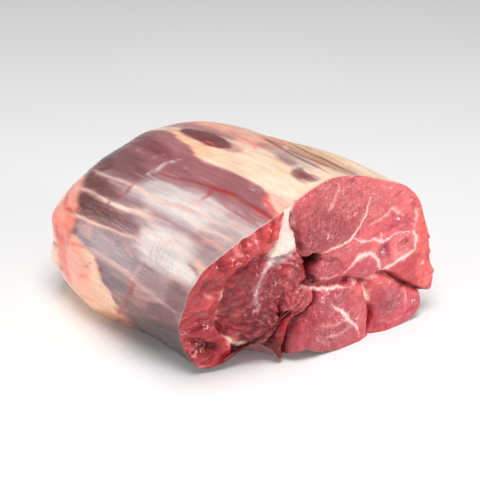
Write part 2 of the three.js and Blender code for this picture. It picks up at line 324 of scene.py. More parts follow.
# Areas on the cut: outline (x, z), softness of the edge, tissue and cover.
CUT_AREAS = [
    ([(-29, 82), (-24, 88), (-14, 86), (0, 78), (7, 69), (-4, 61), (-14, 60), (-22, 68)], 8, "dusky rose",
      0.85),
    ([(-18, 100), (-2, 101), (14, 98), (15, 84), (8, 74), (-2, 80), (-12, 88)], 8, "coral pink", 0.35),
    ([(18, 98), (34, 92), (45, 82), (47, 70), (38, 68), (30, 75), (20, 70), (17, 80)], 5, "coral pink", 0.3),
    ([(34, 56), (44, 58), (47, 50), (47, 43), (36, 40), (32, 44), (34, 50)], 3, "coral pink", 0.55),
    ([(8, 63), (20, 58), (30, 55), (32, 44), (28, 40), (22, 50), (12, 53), (2, 52), (-4, 57)], 3,
      "coral pink", 0.35),
    ([(47, 72), (52, 74), (60, 60), (66, 40), (66, 10), (56, 14), (52, 22), (50, 30), (49, 44), (47.5, 58)],
      1.6, "coral", 0.7),
    ([(29, 37), (37, 31), (46, 24), (54, 18), (50, 26), (48, 42), (40, 41), (33, 39)], 2, "bright red", 0.5),
    ([(4, 44), (9, 49), (14, 51), (20, 48), (24, 42), (26, 37.5), (18, 37.3), (8, 39.5)], 1.2, "mauve red",
      0.9),
    ([(-14, 45), (-8, 44), (-2, 43), (4, 42), (9, 39), (6, 36.8), (-4, 38.6), (-13, 41.5)], 1.2, "wine", 0.9),
    # Painted shade: deep wine where the cut is undercut below the oval.
    ([(-50, 17), (-42, 20), (-32, 16), (-27, 12), (-30, 2), (-48, 6)], 3, "deep wine", 0.8),
    ([(21, 35), (30, 35), (44, 24), (56, 16), (58, 6), (52, 14), (42, 20), (32, 27), (24, 28), (22, 20)], 3,
      "coral", 0.45),
    ([(-84, 66), (-58, 60), (-56, 40), (-54, 24), (-62, 20), (-84, 24)], 6, "wine", 0.35),
    ([(-84, 30), (-58, 26), (-50, 20), (-48, 4), (-66, -2), (-84, 10)], 6, "wine", 0.6),
    ([(-34, 92), (-46, 88), (-62, 82), (-58, 74), (-44, 72), (-37, 70), (-35, 80)], 4, "coral", 0.35),
    ([(-80, 14), (-62, 12), (-52, 8), (-56, 0), (-72, 0)], 3, "bright red", 0.6),
    ([(-31, 96), (-26, 97), (-26.3, 86), (-24, 76), (-23, 69), (-27, 66), (-34, 66), (-33, 75), (-31, 84)], 2,
      "pale seam", 0.7),
]
# Wet patches on the cut: (x, z) and half sizes. They are glossier, and the painted highlights lie in them.
WET = [
    ((-12, 66), (12, 9)),
    ((2, 74), (14, 14)),
    ((-40, 45), (14, 22)),
    ((0, 12), (17, 13)),
    ((-1, 32), (13, 5)),
    ((-5, 48), (9, 6)),
    ((40, 50), (8, 8)),
    ((34, 15), (10, 10)),
    ((-22, 37), (9, 8)),
    ((-62, 66), (8, 8)),
    ((-64, 14), (9, 9)),
]

# ---------------------------------------------------------------- tissues of the skin

# Places on the skin are (share of the length in percent, degrees round the shank from its right side, over
# its top). SKIN_SCALE turns both into millimetres, roughly.
SKIN_SCALE = np.array([1.45, 1.22])
# The umber also stands for painted shade on the underside.
FLESHY = ("plum", "dark plum", "brown", "mauve", "olive", "umber")  # the tissues of muscle under thin skin
# Degrees from and to, each with its softness: of the pink rim over the top, and of the wettest flank, which
# goes to a percent of the length.
RIM_TOP = (40, 10, 122, 6)
WET_FLANK = {"to": 40, "soft": 20, "round": (126, 8, 180, 12)}

# Ground round the skin: degrees and tissue. The brown and umber round 200 to 212 degrees, where the skin turns
# under towards the floor, are painted shade.
SKIN_GROUND = [
    (-90, "mauve"), (-50, "plum"), (-25, "pink fat"), (5, "cream"), (48, "yellow fat"), (66, "orange fat"),
    (84, "pink fat"), (92, "cream"), (112, "cream"), (117, "plum"), (128, "plum"), (132, "lilac"),
    (150, "lilac"), (168, "grey"), (184, "grey"), (200, "brown"), (212, "umber"), (232, "plum"),
    (270, "mauve"),
]
# Areas on the skin: outline, softness of the edge in millimetres, raggedness, tissue and cover.
SKIN_AREAS = [
    # the fat over the top
    ([(-4, 60), (-4, 124), (8, 118), (12, 114), (24, 114), (38, 113.5), (45, 112), (50, 109.5), (55, 106.5),
      (59, 104.5), (64, 101.5), (70, 98), (70, 94), (58, 98), (46, 94), (36, 88), (30, 84), (20, 86),
      (10, 80), (6, 66)], 4, 1.2, "cream", 0.95),
    ([(46, 113), (56, 109), (66, 105), (76, 99), (71, 96), (60, 101), (48, 104), (40, 109)], 5, 1.5,
      "orange fat", 0.8),
    ([(104, 60), (60, 60), (44, 62), (38, 74), (42, 84), (54, 88), (66, 88), (80, 92), (104, 98)], 6, 2,
      "pink fat", 0.6),
    ([(52, 62), (48, 70), (40, 75), (34, 71), (40, 62)], 5, 1.5, "salmon", 0.4),
    ([(30, 88), (24, 96), (12, 103), (16, 92), (24, 86)], 8, 2, "orange fat", 0.45),
    # bands of brown muscle under thin fat, at the top right
    ([(44, 71), (38, 77), (28, 79), (18, 78), (8, 80), (2, 78), (2, 68), (14, 68), (26, 70), (34, 70)], 5,
      3.5, "olive", 0.55),
    ([(42, 62), (34, 66), (20, 68), (6, 67), (12, 62), (28, 59)], 5, 3, "olive", 0.22),
    ([(40, 80), (36, 86), (28, 87), (23, 84), (30, 79)], 5, 2.5, "mauve", 0.4),
    ([(32, 82), (24, 92), (14, 93), (10, 84), (20, 79)], 5.5, 2.5, "lilac", 0.55),
    ([(26, 87), (21, 92), (15, 93), (17, 88)], 4, 2.5, "mauve", 0.5),
    ([(14, 93), (12, 97.5), (8, 99), (3, 98), (2, 94), (7, 91.5), (11, 90)], 3, 2, "mauve", 0.8),
    ([(11, 93.5), (9, 97.5), (5, 97), (6, 94)], 3.5, 1.5, "dark plum", 0.4),
    ([(52, 100), (40, 103), (26, 103), (20, 110), (34, 112), (50, 108)], 8, 3, "orange fat", 0.3),
    ([(30, 40), (30, 56), (14, 60), (2, 60), (0, 46), (12, 40)], 5, 3, "yellow fat", 0.6),
    # the plum muscle beside the fat
    ([(9, 116), (20, 115), (34, 115), (45, 113), (52, 109.5), (60, 106.5), (70, 102), (86, 101), (104, 106),
      (104, 124), (80, 124), (60, 122), (46, 129), (36, 128), (24, 127), (8, 126)], 2.6, 2, "plum", 0.9),
    ([(0, 127), (14, 127), (30, 128), (46, 129), (60, 124), (70, 128), (58, 134), (44, 135), (28, 133),
      (12, 133), (0, 132)], 4, 3, "plum", 0.7),
    ([(104, 102), (84, 103), (70, 110), (58, 116), (56, 121), (66, 121), (82, 116), (104, 118)], 8, 2,
      "dark plum", 0.4),
    ([(80, 80), (64, 79), (52, 82), (46, 88), (52, 92), (66, 93), (80, 92)], 8, 3, "plum", 0.6),
    ([(70, 94), (66, 99), (60, 101), (55, 102), (50, 102), (46, 101.5), (43, 100), (42, 97), (44, 94),
      (47, 92), (50, 90), (55, 88), (60, 87.5), (65, 90)], 2.6, 2, "dark plum", 0.85),
    ([(48, 98), (43, 101), (38, 101), (36, 97), (40, 94), (46, 92)], 4, 3, "mauve", 0.45),
    ([(10, 114), (9, 122), (2, 126), (-2, 123), (1, 114)], 3, 1.5, "salmon", 0.5),
    ([(10, 113), (6, 119), (0, 124), (-2, 118), (4, 111)], 4, 1.5, "pale pink", 0.5),
    # the veiled muscles of the flank
    ([(104, 122), (74, 123), (60, 130), (54, 137), (58, 142), (74, 142), (104, 142)], 12, 2.5, "mauve", 0.95),
    ([(104, 128), (84, 130), (74, 138), (80, 143), (104, 143)], 8, 2.5, "brown", 0.6),
    ([(84, 145), (58, 147), (44, 149.5), (58, 153), (84, 154)], 10, 2.5, "mauve", 0.75),
    ([(84, 156), (60, 155.5), (44, 156), (38, 160), (46, 164), (62, 165), (84, 165)], 10, 2.5, "mauve", 0.85),
    ([(104, 143), (76, 145), (62, 149), (76, 153.5), (104, 154)], 16, 2, "brown", 0.95),
    ([(104, 155), (72, 155), (60, 156), (54, 160), (62, 165), (104, 165)], 16, 2, "brown", 0.95),
    ([(42, 148.5), (28, 149), (12, 149), (4, 152), (16, 153), (34, 152.5)], 5, 3, "grey", 0.5),
    ([(86, 167), (74, 167), (68, 171), (70, 176), (78, 175), (86, 172)], 6, 2, "brown", 0.7),
    ([(68, 167), (58, 166.5), (46, 167), (34, 167), (26, 171), (36, 175.5), (50, 175), (66, 175)], 7, 3,
      "blue grey", 0.75),
    ([(49, 178.5), (40, 178), (32, 181), (29, 186), (35, 192), (42, 190), (47, 185)], 6, 2.5, "blue grey",
      0.8),
    # The silver areas below are the pale silver skin, and at their brightest a painted sheen of the light on
    # the flank.
    ([(36, 158), (28, 155.5), (18, 154.5), (8, 158), (1, 160), (1, 168), (12, 169), (22, 170), (32, 166),
      (36, 162)], 9, 2, "silver sheen", 0.9),
    ([(40, 138), (30, 136), (20, 136), (14, 139), (20, 144), (34, 145), (44, 143)], 8, 2, "silver sheen", 0.5),
    ([(50, 143.5), (38, 141.5), (20, 140), (8, 143), (10, 147), (28, 148.5), (42, 147.5), (48, 146.5)], 6,
      2.5, "silver sheen", 0.65),
    ([(36, 153), (20, 153), (8, 155), (8, 159), (28, 158)], 6, 2.5, "silver sheen", 0.5),
    ([(60, 169), (30, 169), (10, 170), (10, 182), (30, 181), (56, 177)], 9, 3, "silver sheen", 0.3),
    ([(10, 170), (2, 169), (0, 180), (6, 186), (10, 180)], 6, 2, "mauve", 0.5),
    ([(12, 129.5), (2, 129.5), (0, 134), (4, 138), (14, 136)], 4, 1.5, "plum", 0.35),
    ([(14, 143), (2, 142), (0, 156), (8, 157), (16, 150)], 5, 3, "mauve", 0.25),
    # fat at the far end and below, and painted shade on the underside
    ([(104, 142), (90, 146), (82, 154), (78, 161), (73, 165), (72, 172), (78, 182), (104, 186)], 8, 3,
      "pink fat", 0.9),
    ([(92, 148), (83, 155), (78, 162), (73, 166), (71, 171), (73, 179), (84, 184), (92, 178), (94, 162)], 9,
      3, "salmon", 0.65),
    ([(96, 144), (88, 151), (82, 158), (77, 166), (84, 172), (96, 166)], 7, 2.5, "pink fat", 0.6),
    ([(70, 175), (62, 177), (56, 178), (52, 180), (50, 184), (47, 189), (43, 192), (40, 196), (37, 202),
      (40, 208), (50, 214), (62, 222), (80, 226), (104, 226), (104, 184), (84, 184), (73, 182)], 3, 1.5,
      "peach", 0.95),
    ([(83, 180), (78, 180), (72, 184), (71, 194), (76, 204), (81, 205), (84, 196)], 6, 2, "salmon", 0.85),
    ([(80, 180), (76, 181), (73, 186), (73, 194), (77, 202), (80, 198), (79, 188)], 8, 2.5, "coral", 0.7),
    ([(74, 176), (62, 180), (56, 188), (60, 200), (70, 206), (76, 196)], 8, 3, "salmon", 0.4),
    ([(104, 180), (94, 184), (86, 194), (86, 204), (92, 212), (104, 212)], 10, 3, "pale pink", 0.75),
    # Painted shade: a dark orange along the lower edge of the fat, where it turns under towards the floor.
    ([(64, 214), (52, 208), (44, 203), (37, 199), (32, 206), (44, 218), (60, 224)], 5, 2, "shaded orange", 0.7),
    ([(74, 180), (62, 183), (56, 190), (60, 197), (74, 196)], 9, 3, "pink fat", 0.7),
    ([(60, 198), (48, 200), (42, 205), (52, 210), (68, 212)], 7, 3, "orange fat", 0.7),
    # Painted shade: umber on the underside, where the skin turns under towards the floor.
    ([(32, 204), (22, 197), (8, 194), (-4, 196), (-4, 222), (20, 228), (38, 222)], 9, 1.5, "umber", 0.75),
    # the side that faces away
    ([(20, 20), (50, 26), (80, 24), (98, 12), (80, 2), (46, -2), (16, 4)], 8, 3, "pink fat", 0.7),
    ([(10, -14), (36, -8), (70, -12), (90, -22), (70, -34), (30, -36), (8, -28)], 8, 3, "plum", 0.75),
    ([(30, 8), (50, 14), (72, 10), (60, 2), (38, 0)], 6, 2.5, "mauve", 0.55),
    ([(56, 42), (72, 48), (94, 44), (86, 32), (62, 31)], 7, 4, "plum", 0.6),
    ([(8, 42), (26, 46), (44, 38), (30, 30), (10, 30)], 9, 4, "pink fat", 0.7),
    ([(52, 18), (76, 20), (100, 8), (100, -8), (70, -4)], 9, 4, "lilac", 0.6),
    ([(14, -50), (50, -46), (86, -54), (80, -66), (30, -64)], 9, 3, "lilac", 0.6),
]
# Streaks of fat and vessels along the skin: points, width, tissue, cover, and height in millimetres.
SKIN_LINES = [
    ([(92, 142), (75, 143.5), (62, 142.5), (50, 143.2), (40, 144), (30, 143), (20, 142), (6, 141)], 1.61,
      "membrane", 0.7, 0.35),
    ([(60, 142.6), (50, 143.2), (42, 144), (36, 143.6)], 1.36, "cream", 0.45, 0.2),
    ([(96, 154), (78, 154.2), (65, 154.4), (55, 153.6), (45, 152.6), (35, 151.8), (25, 151)], 1.43,
      "membrane", 0.75, 0.4),
    ([(68, 154.4), (55, 153.6), (45, 152.6), (37, 152)], 1.12, "cream", 0.7, 0.3),
    ([(86, 166), (70, 166), (62, 165.3), (55, 164.5), (45, 163.5), (35, 162.6), (24, 163)], 1.3, "membrane",
      0.75, 0.4),
    ([(76, 166), (62, 165.3), (50, 164)], 1.2, "orange fat", 0.3, 0.2),
    ([(70, 174), (60, 177), (50, 176.5), (40, 177), (30, 177), (20, 179.5), (12, 181.5), (4, 184)], 2.11,
      "membrane", 0.55, 0.3),
    ([(44, 177), (34, 177), (26, 178)], 1.24, "membrane", 0.4, 0.2),
    ([(24, 146), (16, 147), (8, 146.5), (0, 147)], 1.4, "pale pink", 0.5, 0.15),
    ([(14, 150), (7, 150.5), (0, 151.5)], 1.2, "pink fat", 0.5, 0.15),
    ([(12, 139), (6, 139), (0, 139.5)], 1.2, "pink fat", 0.45, 0.15),
    ([(16, 133.5), (8, 134), (0, 135)], 1, "vessel", 0.3, 0),
    ([(7, 158.5), (0, 160)], 1.3, "orange fat", 0.6, 0.25),
    ([(9, 160.5), (4, 161.5), (1, 162.5)], 0.9, "vessel", 0.5, 0.1),
    ([(54, 131.5), (45, 130), (40, 129.2), (32, 128), (28, 128), (24, 127.5), (20, 126.2), (16, 126),
      (12, 127), (8, 127), (3, 127.5), (-1, 128.5)], 1.3, "vessel", 0.5, 0.3),
    ([(28, 127.9), (24, 127.5), (21, 126.4), (16, 126)], 1.7, "blood", 0.45, 0.2),
    ([(10, 127), (6, 127.2), (3, 127.5), (-1, 128.5)], 2, "blood", 0.5, 0.2),
    ([(27, 127.6), (26.6, 130), (25.6, 133), (26.4, 137)], 1.6, "blood", 0.45, 0.2),
    ([(50.5, 118), (53, 123), (54.5, 128), (56, 134)], 1.4, "silver sheen", 0.6, 0.45),
    ([(44, 121), (45, 124)], 1.2, "lilac", 0.35, 0.3),
    ([(58, 117), (60, 122), (61, 126)], 1.2, "lilac", 0.25, 0.2),
    ([(56.5, 137), (57, 142), (58, 147), (60, 152), (62, 158), (64.5, 164), (67, 171)], 0.9, "vessel", 0.5,
      0.15),
    ([(28, 168), (27.5, 174), (27, 180), (27, 184)], 1.36, "membrane", 0.4, 0.2),
    ([(26.5, 181), (28, 185), (29.5, 188), (31, 192), (34, 197), (38, 202), (43, 206.5)], 1.4, "vessel", 0.85,
      0.3),
    ([(27, 178), (27.5, 183), (28.5, 186)], 1.4, "blood", 0.6, 0.2),
    ([(46, 181), (48, 183), (49.5, 187)], 1.1, "vessel", 0.8, 0.2),
    ([(56, 183), (58, 186), (62, 187)], 0.9, "vessel", 0.4, 0.1),
    ([(96, 118), (80, 118), (68, 119), (58, 121)], 2, "brown", 0.35, -0.2),
    ([(90, 110), (76, 112), (64, 115)], 1.4, "brown", 0.3, -0.2),
    ([(40, 84), (36, 89), (34, 92)], 1.1, "salmon", 0.5, 0.1),
    ([(54, 103), (50, 99), (46, 102)], 0.9, "salmon", 0.5, 0.1),
    ([(44, 108), (38, 104), (36, 99)], 0.9, "orange fat", 0.7, 0.1),
    # Painted highlight: the pale pink line from (34, 72) to (28, 79) is a glint on a low ridge.
    ([(34, 72), (31, 76), (28, 79)], 1.2, "pale pink", 0.85, 0.5),
    ([(12, 89.5), (9, 91), (6, 92)], 1.4, "pale pink", 0.85, 0.5),
    ([(46, 68), (40, 73), (34, 77), (26, 80), (16, 82), (4, 84)], 1.5, "umber", 0.35, -0.2),
    ([(40, 62), (26, 69), (14, 70), (2, 72)], 1.5, "umber", 0.45, -0.2),
    ([(30, 76), (18, 77), (6, 76.5)], 1.2, "umber", 0.3, -0.1),
    ([(48, 60), (34, 65), (20, 66), (6, 66)], 0.99, "yellow fat", 0.5, 0.3),
    ([(60, 74), (50, 80), (42, 84), (34, 86)], 1.4, "salmon", 0.4, 0),
    ([(90, 160), (84, 165), (79, 165.5), (75, 166)], 1.8, "blood", 0.5, 0.1),
    ([(93, 150), (91, 158), (86, 163)], 1.6, "blood", 0.5, 0.1),
    ([(72, 180), (66, 178), (61, 177.5)], 1.3, "salmon", 0.7, 0.2),
    ([(66, 196), (61, 192), (57, 191)], 1, "salmon", 0.5, 0.1),
    ([(72, 208), (64, 206), (56, 205)], 1, "salmon", 0.5, 0.1),
    ([(86, 172), (83, 184), (84, 198), (87, 208)], 1.5, "vessel", 0.5, -0.8),
    ([(96, 188), (88, 188), (84, 187)], 1.5, "vessel", 0.5, -1.2),
    ([(90, 14), (66, 16), (40, 12), (14, 14)], 1.36, "cream", 0.6, 0.3),
    ([(84, -4), (58, -2), (30, -6), (8, -4)], 1.4, "membrane", 0.6, 0.3),
    ([(88, 34), (64, 38), (38, 33), (16, 36)], 1.4, "cream", 0.6, 0.3),
    ([(92, 50), (66, 54), (40, 50), (12, 52)], 1.2, "yellow fat", 0.7, 0.3),
    ([(90, -22), (60, -18), (30, -24), (6, -20)], 1.24, "membrane", 0.5, 0.3),
    ([(88, -44), (60, -40), (34, -43), (10, -40)], 1.36, "membrane", 0.7, 0.3),
    ([(44, 36), (40, 20), (44, 4), (40, -12)], 1.4, "vessel", 0.6, 0.2),
    ([(70, 250), (50, 246), (24, 250), (6, 246)], 1.36, "membrane", 0.6, 0.2),
]
# Bulges of the skin: place, half sizes along and round in millimetres, and height.
BULGES = [
    ((88, 172), (16, 12), 2),
    ((92, 196), (12, 12), 2.2),
    ((66, 200), (24, 18), 1.2),
    ((22, 98), (30, 16), 1),
    ((54, 95), (24, 10), 0.6),
    ((76, 88), (26, 18), -1.2),
    ((64, 82), (30, 16), -2),
    ((80, 182), (9, 9), -1.8),
    ((88, 200), (7, 10), 1.2),
    ((64, 216), (20, 10), 1),
    ((8, 121), (10, 7), 0.9),
    ((60, 30), (40, 20), 1),
    ((30, -20), (40, 16), 1),
]
# Fine wrinkles round the flank: place and half sizes in millimetres.
WRINKLES = ((20, 163), (16, 16))

# ---------------------------------------------------------------- noise

# Noise is given by the size of its features in millimetres, which may differ by axis, and by a seed.

# How far the borders on a cut wander, in millimetres, with a seed for x and one for z.
WANDER = {"by": 0.8, "size": 8, "fine_by": 0.35, "fine_size": 2.6, "seeds": (40, 50)}
# How far the borders on the skin wander: along it and round it.
SKIN_WANDER = [(1.4, (9, 22, 9), 80), (0.9, (6, 22, 6), 90)]
SKIN_RAGGED = ((3.2, 16, 3.2), 100)

# Relief of the flesh in a cut: its waves, the bundles of fibres, how these bend, and the grain in them. The
# cracks are where the noise is below "crack", and heights are measured from its "level".
WAVES = {"size": (12, 40, 10), "seed": 10}
FOLDS = {"size": (3.6, 30, 5.6), "seed": 14, "height": 1.9, "level": 0.2, "crack": 0.14}
BENDS = {"by": 3.0, "size": 11, "seeds": (27, 28, 29)}
GRAIN = {"size": (2.4, 20, 2.1), "seed": 18, "height": 0.5, "level": 0.2, "crack": 0.16, "cover": 0.5}
# Painted shade in the cracks between the bundles and painted highlight on their crests: tissue and cover.
CRACK_SHADE = ("deep wine", 0.52)
CREST_HIGHLIGHT = ("coral pink", 0.34)
# Relief of the skin: height, size and seed.
SKIN_WAVES = [(0.6, (24, 60, 24), 20), (0.16, (4, 30, 4), 24)]

# Directions in a cut, as parts along x and z: of the bundles, the fine fibres and the wet glints.
SLANTS = {"bundles": (0.8, 0.6), "fibres": (0.9, 0.42), "glints": (1, 1)}
# Painted wet highlights in the cut: how slim they are, the size and seed of their noise, the size and seed of
# their groups, and their cover.
GLINT = {"slimness": 2.4, "size": 3.2, "seed": 75, "group_size": 7, "group_seed": 76, "cover": 0.74}

# Light and dark waves of colour: strength, size and seed.
CUT_SHADES = [(0.12, 14, 60), (0.08, 4, 61)]
SKIN_SHADES = [(0.07, (2.6, 26, 2.6), 110), (0.05, 12, 120)]
# Patches of other tissues: tissue, cover, size, seed and layers, then what stretches and shifts the noise.
CUT_PATCHES = [
    ("coral", 0.25, 9, 64, 3, 1.5, -0.2),
    ("wine", 0.3, 7, 66, 3, 1.5, -0.2),
    ("dull mauve", 0.4, (9, 30, 5), 68, 3, 1.8, -0.1),
]
CUT_FIBRES = [
    ("seam", 0.3, (6, 30, 1.8), 69, 2, 2.6, -0.4),
    ("wine", 0.36, (7, 30, 2.4), 72, 2, 2.6, -0.4),
]
SKIN_FILMS = [("membrane", 0.3, (2.2, 34, 2.2), 130, 3, 1.6, -0.35)]
SKIN_FAT = [("pink fat", 0.4, (10, 20, 10), 150, 3, 1.8, -0.1)]

# ---------------------------------------------------------------- material, stage, camera and light

# Fine textures of the material: how many features each has in a metre.
FINE = {
    "fibres": 650.0, "bundles": 580.0, "bends": 260.0, "dots": 1100.0, "patches": 190.0, "ripples": 420.0,
    "wet ripples": 560.0, "wrinkles": 520.0, "swells": 240.0,
}
# How the fibres and wrinkles of the skin are stretched: a small number makes them long on that axis.
LENGTHWISE = (1.0, 0.1, 1.0)
CROSSWISE = (0.25, 1.0, 0.25)
BUNDLE_BEND = 0.0035  # how far the bundles of the material are bent, in metres
FILM_COLOUR = (0.86, 0.42, 0.40, 1.0)
BUMP = {"Strength": 0.6, "Distance": 0.001}
SHADER = {
    "Subsurface Weight": 0.06,
    "Subsurface Radius": (1.0, 0.35, 0.25),
    "Subsurface Scale": 0.0025,
    "Specular IOR Level": 0.2,
    "Coat Weight": 0.42,
    "Coat Roughness": 0.06,
}
FLOOR_HALF = 4.0
FLOOR_LOOK = {"Base Color": (0.96, 0.96, 0.96, 1), "Roughness": 0.8}

VIEW = {"azimuth": -45, "elevation": 30, "distance": 600, "lens": 85, "target": (0, 0, 36.7)}
WORLD_STRENGTH = 0.31
# Softboxes: place, aim, width and height in metres, and power.
LIGHTS = {
    "key": ((-0.2, -0.22, 0.87), (0, 0, 0.05), (0.4, 0.4), 6.2),
    "left": ((-0.75, 0.6, 0.16), (-0.05, 0, 0.05), (0.6, 0.3), 3.0),
    "right": ((0.32, -0.85, 0.12), (0.02, -0.05, 0.04), (0.2, 0.12), 4.4),
}

# ---------------------------------------------------------------- maths


def smooth(t):
    t = np.clip(t, 0.0, 1.0)
    return t * t * (3 - 2 * t)


def between(value, low, low_soft, high, high_soft):
    """1 between two limits and 0 outside them, with soft edges."""
    return smooth((value - low) / low_soft) * smooth((high - value) / high_soft)


def nearness(centre, half, u, v):
    """1 in the centre of an oval, 0 at its edge and less outside it."""
    return 1 - np.hypot((u - centre[0]) / half[0], (v - centre[1]) / half[1])


def blob(centre, half, u, v):
    return smooth(1.6 * nearness(centre, half, u, v))


def spline(points, closed, steps=6):
    """A smooth curve through the points, as a polyline. Closed ones turn as those of the solid do."""
    p = np.array(points, float)
    if closed:
        before, start, end, after = np.roll(p, 1, 0), p, np.roll(p, -1, 0), np.roll(p, -2, 0)
    else:
        padded = np.vstack([2 * p[0] - p[1], p, 2 * p[-1] - p[-2]])
        before, start, end, after = padded[:-3], padded[1:-2], padded[2:-1], padded[3:]
    pairs = ((before, start), (start, end), (end, after))
    gaps = [np.linalg.norm(b - a, axis=1)[:, None] ** 0.5 for a, b in pairs]
    leave = (start - before) / gaps[0] - (end - before) / (gaps[0] + gaps[1]) + (end - start) / gaps[1]
    arrive = (end - start) / gaps[1] - (after - start) / (gaps[1] + gaps[2]) + (after - end) / gaps[2]
    leave, arrive = leave * gaps[1], arrive * gaps[1]
    rows = []
    for step in range(steps):
        t = step / steps
        cubic = (2 * start - 2 * end + leave + arrive) * t**3
        rows.append(start + leave * t + (3 * end - 3 * start - 2 * leave - arrive) * t**2 + cubic)
    curve = np.stack(rows, 1).reshape(-1, 2)
    return curve if closed else np.vstack([curve, p[-1:]])


def distance_to_line(line, u, v):
    """Distance from each (u, v) to a polyline, how far along it the nearest place is, and its length."""
    nearest, along, passed = np.full(u.shape, np.inf), np.zeros(u.shape), 0.0
    for a, b in zip(line[:-1], line[1:]):
        edge = b - a
        length = math.hypot(*edge)
        share = np.clip(((u - a[0]) * edge[0] + (v - a[1]) * edge[1]) / (length * length + 1e-9), 0, 1)
        far = np.hypot(u - a[0] - share * edge[0], v - a[1] - share * edge[1])
        along = np.where(far < nearest, passed + share * length, along)
        nearest = np.minimum(nearest, far)
        passed += length
    return nearest, along, passed


def distance_to_curve(points, u, v):
    return distance_to_line(spline(points, False), u, v)


def signed_distance(outline, u, v):
    """Distance from each (u, v) to a smooth closed outline, negative inside it."""
    curve = spline(outline, True)
    inside = np.zeros(u.shape, bool)
    for a, b in zip(curve, np.roll(curve, -1, 0)):
        if a[1] == b[1]:
            continue
        crossing = a[0] + (v - a[1]) * (b[0] - a[0]) / (b[1] - a[1])
        inside ^= ((a[1] > v) != (b[1] > v)) & (u < crossing)
    far = distance_to_line(np.vstack([curve, curve[:1]]), u, v)[0]
    return np.where(inside, -far, far)


def noise(place, size, seed):
    """Smooth noise from about -1 to 1 at each place: a lattice of random slopes, blended in between."""
    q = place / np.asarray(size, float) + 31.7 * seed
    cell = np.floor(q).astype(np.int64)
    f = q - cell
    weight = f * f * f * (f * (f * 6 - 15) + 10)
    total = np.zeros(len(place))
    for corner in np.ndindex(2, 2, 2):
        at = cell + corner
        mixed = (at[:, 0] * 73856093) ^ (at[:, 1] * 19349663) ^ (at[:, 2] * 83492791) ^ (seed * 40503)
        mixed = (mixed ^ (mixed >> 13)) * 1274126177 & 0xFFFFFFFF
        slope = np.stack([(mixed >> shift & 255) / 127.5 - 1 for shift in (2, 11, 20)], 1)
        value = ((f - corner) * slope).sum(1)
        total += value * np.where(corner, weight, 1 - weight).prod(1)
    return 1.6 * total


def layered_noise(place, size, seed, layers=3):
    total = sum(noise(place, np.asarray(size, float) / 2**k, seed + k) / 1.8**k for k in range(layers))
    return total / 1.4


# ---------------------------------------------------------------- the form


def reach_table(centre, outline):
    """How far the outline reaches from its centre, for each step of the angle."""
    a = spline(outline, True, 8) - centre
    b = np.roll(a, -1, 0)
    dx, dz = np.cos(ANGLES)[:, None], np.sin(ANGLES)[:, None]
    side_a = dx * a[:, 1] - dz * a[:, 0]
    side_b = dx * b[:, 1] - dz * b[:, 0]
    crosses = (side_a > 0) != (side_b > 0)
    share = np.where(crosses, side_a / np.where(crosses, side_a - side_b, 1), 0)
    hit = a + (b - a) * share[..., None]
    return np.where(crosses, dx * hit[..., 0] + dz * hit[..., 1], 0).max(1)


ANGLES = np.radians(np.arange(0, 360, 0.25))
REACHES = [reach_table(np.array(centre, float), outline) for _, centre, outline in SECTIONS]


def in_section(number, angle, share):
    """The place (x, z) at a share of the way from a section's centre to its outline."""
    table = REACHES[number]
    radius = share * np.interp(angle % math.tau, np.append(ANGLES, math.tau), np.append(table, table[0]))
    centre = SECTIONS[number][1]
    return centre[0] + radius * np.cos(angle), centre[1] + radius * np.sin(angle)


def front_plane(x, z):
    left = smooth((SAG["from_x"] - x) / SAG["over_x"])
    low = smooth((SAG["from_z"] - z) / SAG["over_z"])
    return FRONT["y"] - FRONT["skew"] * x + SAG["back"] * left * low


def wander(x, z):
    """The places (x, z), shifted a little at random, so that no border on a cut is too smooth."""
    flat = np.stack([x, 0 * x, z], 1)
    return tuple(
        at
        + WANDER["by"] * layered_noise(flat, WANDER["size"], seed)
        + WANDER["fine_by"] * noise(flat, WANDER["fine_size"], seed + 5)
        for at, seed in zip((x, z), WANDER["seeds"])
    )


def muscle_distances(u, v):
    return {name: signed_distance(muscle["outline"], u, v) for name, muscle in MUSCLES.items()}


def relief(x, z):
    """How far the cut surface lies behind its plane."""
    u, v = wander(x, z)
    recess = np.full(x.shape, CREASE["depth"])
    for name, distance in muscle_distances(u, v).items():
        muscle = MUSCLES[name]
        edge = 1 - np.clip(-distance / muscle["round"], 0, 1)
        swell = muscle["crown"] * np.clip(-distance / (3 * muscle["round"]), 0, 1)
        outside = CREASE["slope"] * np.maximum(distance, 0)
        recess = np.minimum(recess, muscle["set"] + muscle["drop"] * edge**2 - swell + outside)
    for centre, half, height in BUMPS:
        recess -= height * smooth(nearness(centre, half, u, v))
    for points, width, depth in CLEFTS:
        far, along, length = distance_to_curve(points, u, v)
        taper = smooth(np.minimum(along, length - along) / CLEFT_END)
        recess += depth * (THIN_END + (1 - THIN_END) * taper) * np.exp(-((far / width) ** 2))
    solid = smooth(1 - nearness(BONE_GAP["at"], BONE_GAP["reach"], u, v))
    return BONE_GAP["depth"] + (recess - BONE_GAP["depth"]) * solid


def front_points(angle, share):
    x, z = in_section(0, angle, share)
    return np.stack([x, front_plane(x, z) + relief(x, z), z], 1)


def back_points(angle, share):
    x, z = in_section(len(SECTIONS) - 1, angle, share)
    recess = BACK["relief"] * relief(*in_section(0, angle, share))
    y = BACK["y"] - BACK["skew"] * x + BACK["dome"] * (1 - share**2) - recess
    return np.stack([x, y, z], 1)


